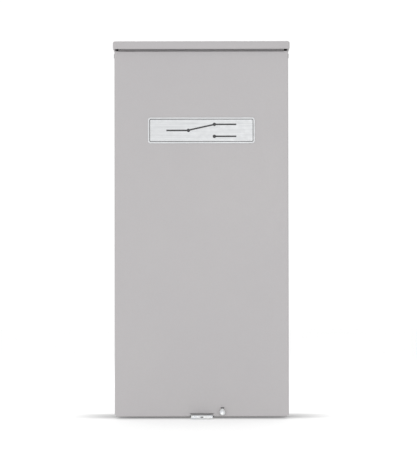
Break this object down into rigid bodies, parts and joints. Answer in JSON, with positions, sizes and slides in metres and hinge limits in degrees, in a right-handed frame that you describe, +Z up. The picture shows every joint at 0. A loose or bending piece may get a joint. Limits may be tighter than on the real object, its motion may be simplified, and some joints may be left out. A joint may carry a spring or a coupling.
{
  "type": "automatic transfer switch",
  "caption": "Wall-mounted rainproof grey steel cabinet with drip cap, lift-up front cover, hasp and cover screw, and a complete utility-to-generator transfer switch inside",
  "frame": {"origin": "centre of the four wall bolts, in the plane of the wall that the pads rest on", "axes": "+Z up, +Y into the wall, so the front cover faces -Y, and +X to the right as seen from the front"},
  "size_m": [0.354, 0.191, 0.7555],
  "materials": {
    "cabinet_paint": "light grey satin powder coat with a very fine orange peel",
    "zinc_plate": "bright zinc plated steel",
    "bare_steel": "turned and ground steel",
    "copper": "rolled copper, lightly toned by air",
    "tinned_aluminium": "tin plated extruded aluminium",
    "black_moulding": "black glass-filled thermoset moulding",
    "ivory_nylon": "natural ivory nylon",
    "clear_polycarbonate": "clear polycarbonate, polished",
    "red_moulding": "red insulating moulding",
    "coil_tape": "amber insulating tape over the windings",
    "arc_fibre": "brown vulcanised fibre with steel plates",
    "fuse_body": "white fuse tube with plated end caps",
    "circuit_board": "green solder mask on glass epoxy",
    "board_components": "moulded relay, transformer and connector bodies",
    "gasket_foam": "closed-cell foam strip",
    "nameplate_metal": "brushed aluminium plate with a charcoal printed border and symbol",
    "wire_insulation": "blue control wire insulation"
  },
  "bodies": {
    "cabinet": {"enclosure_wrapper": "cabinet_paint", "bottom_pan": "cabinet_paint", "top_cap": "cabinet_paint", "hasp_staple": "zinc_plate", "hinge_pins": "zinc_plate", "rivet_nut": "zinc_plate", "subpanel": "zinc_plate", "subpanel_standoffs": "zinc_plate", "subpanel_nuts": "zinc_plate", "main_breaker_case": "black_moulding", "line_lugs": "tinned_aluminium", "lug_screws": "bare_steel", "bus_bars": "copper", "bus_bolts": "zinc_plate", "dead_front": "cabinet_paint", "dead_front_brackets": "cabinet_paint", "dead_front_screws": "zinc_plate", "transfer_base": "black_moulding", "shaft_bushings": "ivory_nylon", "utility_contacts": "copper", "generator_contacts": "copper", "load_terminals": "copper", "arc_chutes": "arc_fibre", "transfer_shield": "clear_polycarbonate", "shield_screws": "zinc_plate", "generator_lugs": "tinned_aluminium", "load_lugs": "tinned_aluminium", "solenoid_frame": "zinc_plate", "utility_coil": "coil_tape", "generator_coil": "coil_tape", "limit_switches": "black_moulding", "fuse_block": "black_moulding", "control_fuses": "fuse_body", "relay_socket": "black_moulding", "transfer_relay": "clear_polycarbonate", "terminal_strip": "black_moulding", "terminal_screws": "tinned_aluminium", "control_board": "circuit_board", "board_standoffs": "ivory_nylon", "board_parts": "board_components", "neutral_bar": "tinned_aluminium", "neutral_insulators": "red_moulding", "ground_bar": "tinned_aluminium", "bar_screws": "zinc_plate", "control_wiring": "wire_insulation"},
    "cover": {"front_cover": "cabinet_paint", "cover_gasket": "gasket_foam", "nameplate": "nameplate_metal"},
    "screw_carrier": {"screw_washer": "ivory_nylon"},
    "screw": {"cover_screw": "zinc_plate"},
    "breaker_toggle": {"main_breaker_handle": "black_moulding"},
    "transfer_rotor": {"contact_shaft": "bare_steel", "contact_arms": "copper", "drive_crank": "bare_steel", "manual_handle": "zinc_plate", "handle_grip": "red_moulding", "switch_cam": "ivory_nylon"},
    "plunger": {"solenoid_plunger": "bare_steel"},
    "utility_lever": {"utility_switch_lever": "bare_steel"},
    "generator_lever": {"generator_switch_lever": "bare_steel"}
  },
  "joints": [
    {"name": "cover_hinge", "type": "hinge", "parent": "cabinet", "child": "cover", "pos_m": [0, -0.164, 0.3465], "axis": [-1, 0, 0], "range_deg": [0, 90]},
    {"name": "screw_travel", "type": "slide", "parent": "cover", "child": "screw_carrier", "axis": [0, -1, 0], "range_m": [0, 0.0096]},
    {"name": "screw_turn", "type": "hinge", "parent": "screw_carrier", "child": "screw", "pos_m": [0.041, -0.175, -0.3651], "axis": [0, -1, 0], "range_deg": [0, 4320]},
    {"name": "breaker_toggle", "type": "hinge", "parent": "cabinet", "child": "breaker_toggle", "pos_m": [0, -0.084, 0.227], "axis": [1, 0, 0], "range_deg": [0, 40]},
    {"name": "transfer_throw", "type": "hinge", "parent": "cabinet", "child": "transfer_rotor", "pos_m": [0, -0.06, -0.015], "axis": [1, 0, 0], "range_deg": [0, 36]},
    {"name": "plunger_slide", "type": "slide", "parent": "cabinet", "child": "plunger", "axis": [0, 0, -1], "range_m": [0, 0.01132]},
    {"name": "utility_lever_pivot", "type": "hinge", "parent": "cabinet", "child": "utility_lever", "pos_m": [0.067, -0.045, 0.0029], "axis": [1, 0, 0], "range_deg": [0, 4.5]},
    {"name": "generator_lever_pivot", "type": "hinge", "parent": "cabinet", "child": "generator_lever", "pos_m": [0.067, -0.045, -0.0329], "axis": [1, 0, 0], "range_deg": [0, 4.5]}
  ],
  "couplings": [
    {"joint": "screw_turn", "follows": "screw_travel", "rad_per_m": 7854},
    {"joint": "plunger_slide", "follows": "transfer_throw", "m_per_rad": 0.018},
    {"joint": "utility_lever_pivot", "follows": "transfer_throw", "ratio": 0.125},
    {"joint": "generator_lever_pivot", "follows": "transfer_throw", "ratio": 0.125}
  ]
}
